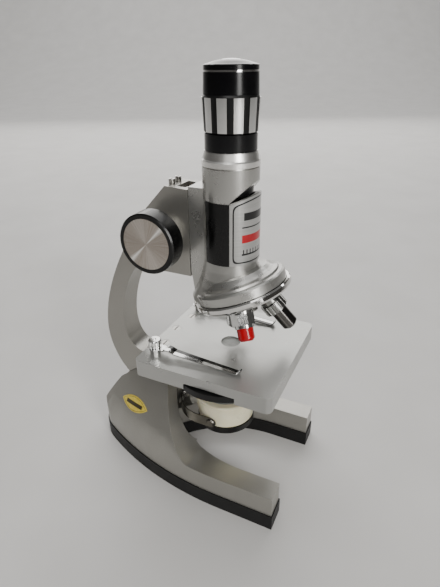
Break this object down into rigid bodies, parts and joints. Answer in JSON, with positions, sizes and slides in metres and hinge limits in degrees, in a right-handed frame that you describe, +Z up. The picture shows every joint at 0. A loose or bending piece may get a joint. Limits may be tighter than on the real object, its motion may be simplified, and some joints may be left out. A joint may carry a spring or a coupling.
{
  "type": "microscope",
  "caption": "Child's zoom microscope: horseshoe base, tilting arm, focusing tube, tilted objective turret, clipped stage and swivelling lamp with mirror back.",
  "frame": {"origin": "centre of the bounding box at floor level, under the foot", "axes": "+Z up, legs of the horseshoe point to -Y, the arm stands at +Y, the focus shaft runs along X"},
  "size_m": [0.088, 0.1456, 0.2495],
  "materials": {
    "foot_rubber": "matte",
    "casting_paint": "satin",
    "arm_paint": "satin",
    "stage_paint": "satin",
    "tube_paint": "satin",
    "steel": "satin",
    "sticker": "gloss",
    "clip_chrome": "polished",
    "disc_black": "matte",
    "knob_black": "gloss",
    "spun_aluminium": "spun",
    "washer_aluminium": "satin",
    "rack_brass": "satin",
    "wrap_black": "gloss",
    "plate_silver": "satin",
    "collar_aluminium": "satin",
    "eye_black": "gloss",
    "grip_black": "matte",
    "strip_chrome": "polished",
    "lens_glass": "clear",
    "turret_chrome": "polished",
    "objective_chrome": "polished",
    "objective_dark": "satin",
    "barrel_red": "gloss",
    "barrel_dark": "gloss",
    "fork_steel": "satin",
    "drum_cream": "gloss",
    "window_frost": "frosted",
    "cell_black": "matte",
    "mirror_silver": "polished"
  },
  "bodies": {
    "base": {"base_foot": "foot_rubber", "base_casting": "casting_paint", "pivot_bolt": "steel", "base_badge": "sticker"},
    "arm_body": {"arm": "arm_paint", "housing_screws": "steel", "stage": "stage_paint", "stage_glass": "window_frost", "stage_screws": "steel", "clip_posts": "clip_chrome", "aperture_screw": "steel", "fork_rivet": "steel"},
    "clip_left_body": {"clip_left": "clip_chrome"},
    "clip_right_body": {"clip_right": "clip_chrome"},
    "disc_body": {"aperture_disc": "disc_black"},
    "focus_shaft": {"pinion": "steel", "knob_rims": "knob_black", "knob_faces": "spun_aluminium", "friction_washers": "washer_aluminium"},
    "tube": {"body_tube": "tube_paint", "rack": "rack_brass", "black_wrap": "wrap_black", "name_plate": "plate_silver", "tube_collar": "collar_aluminium", "turret_screw": "steel", "click_spring": "clip_chrome"},
    "zoom_carrier": {"zoom_barrel": "eye_black"},
    "eyepiece": {"zoom_grip": "grip_black", "zoom_strips": "strip_chrome", "eye_cap": "eye_black", "eye_ring": "strip_chrome", "eye_lens": "lens_glass"},
    "turret": {"turret_dish": "turret_chrome", "objective_low": "objective_chrome", "objective_mid_mount": "objective_chrome", "objective_mid_barrel": "barrel_red", "objective_high_mount": "objective_dark", "objective_high_barrel": "barrel_dark", "objective_lenses": "lens_glass"},
    "fork": {"lamp_fork": "fork_steel"},
    "lamp": {"lamp_drum": "drum_cream", "lamp_window": "window_frost", "mirror_cell": "cell_black", "mirror_glass": "mirror_silver", "lamp_pivots": "fork_steel"}
  },
  "joints": [
    {"name": "arm_tilt", "type": "hinge", "parent": "base", "child": "arm_body", "pos_m": [0, 0.02327, 0.057], "axis": [-1, 0, 0], "range_deg": [0, 45]},
    {"name": "focus_slide", "type": "slide", "parent": "arm_body", "child": "tube", "axis": [0, 0, 1], "range_m": [0, 0.022]},
    {"name": "focus_knob", "type": "hinge", "parent": "arm_body", "child": "focus_shaft", "pos_m": [0, 0.00737, 0.1641], "axis": [-1, 0, 0], "range_deg": [0, 211]},
    {"name": "zoom_slide", "type": "slide", "parent": "tube", "child": "zoom_carrier", "axis": [0, 0, 1], "range_m": [0, 0.008]},
    {"name": "zoom_turn", "type": "hinge", "parent": "zoom_carrier", "child": "eyepiece", "pos_m": [0, -0.02673, 0.226], "axis": [0, 0, 1], "range_deg": [0, 300]},
    {"name": "turret_turn", "type": "hinge", "parent": "tube", "child": "turret", "pos_m": [0, -0.03382, 0.13351], "axis": [0, 0.3584, 0.9336], "continuous": true},
    {"name": "clip_left_swing", "type": "hinge", "parent": "arm_body", "child": "clip_left_body", "pos_m": [-0.0285, 0.00957, 0.0983], "axis": [0, 0, 1], "range_deg": [-20, 24]},
    {"name": "clip_right_swing", "type": "hinge", "parent": "arm_body", "child": "clip_right_body", "pos_m": [0.0285, 0.00957, 0.0983], "axis": [0, 0, -1], "range_deg": [-20, 24]},
    {"name": "disc_turn", "type": "hinge", "parent": "arm_body", "child": "disc_body", "pos_m": [-0.0136, -0.02873, 0.0853], "axis": [0, 0, 1], "continuous": true},
    {"name": "fork_swing", "type": "hinge", "parent": "arm_body", "child": "fork", "pos_m": [0, 0.00727, 0.0437], "axis": [0, 1, 0], "range_deg": [-20, 20]},
    {"name": "lamp_turn", "type": "hinge", "parent": "fork", "child": "lamp", "pos_m": [0, -0.02153, 0.0437], "axis": [1, 0, 0], "range_deg": [-30, 180]}
  ],
  "couplings": [
    {"joint": "focus_knob", "follows": "focus_slide", "rad_per_m": 166.67},
    {"joint": "zoom_turn", "follows": "zoom_slide", "rad_per_m": 654.5}
  ]
}
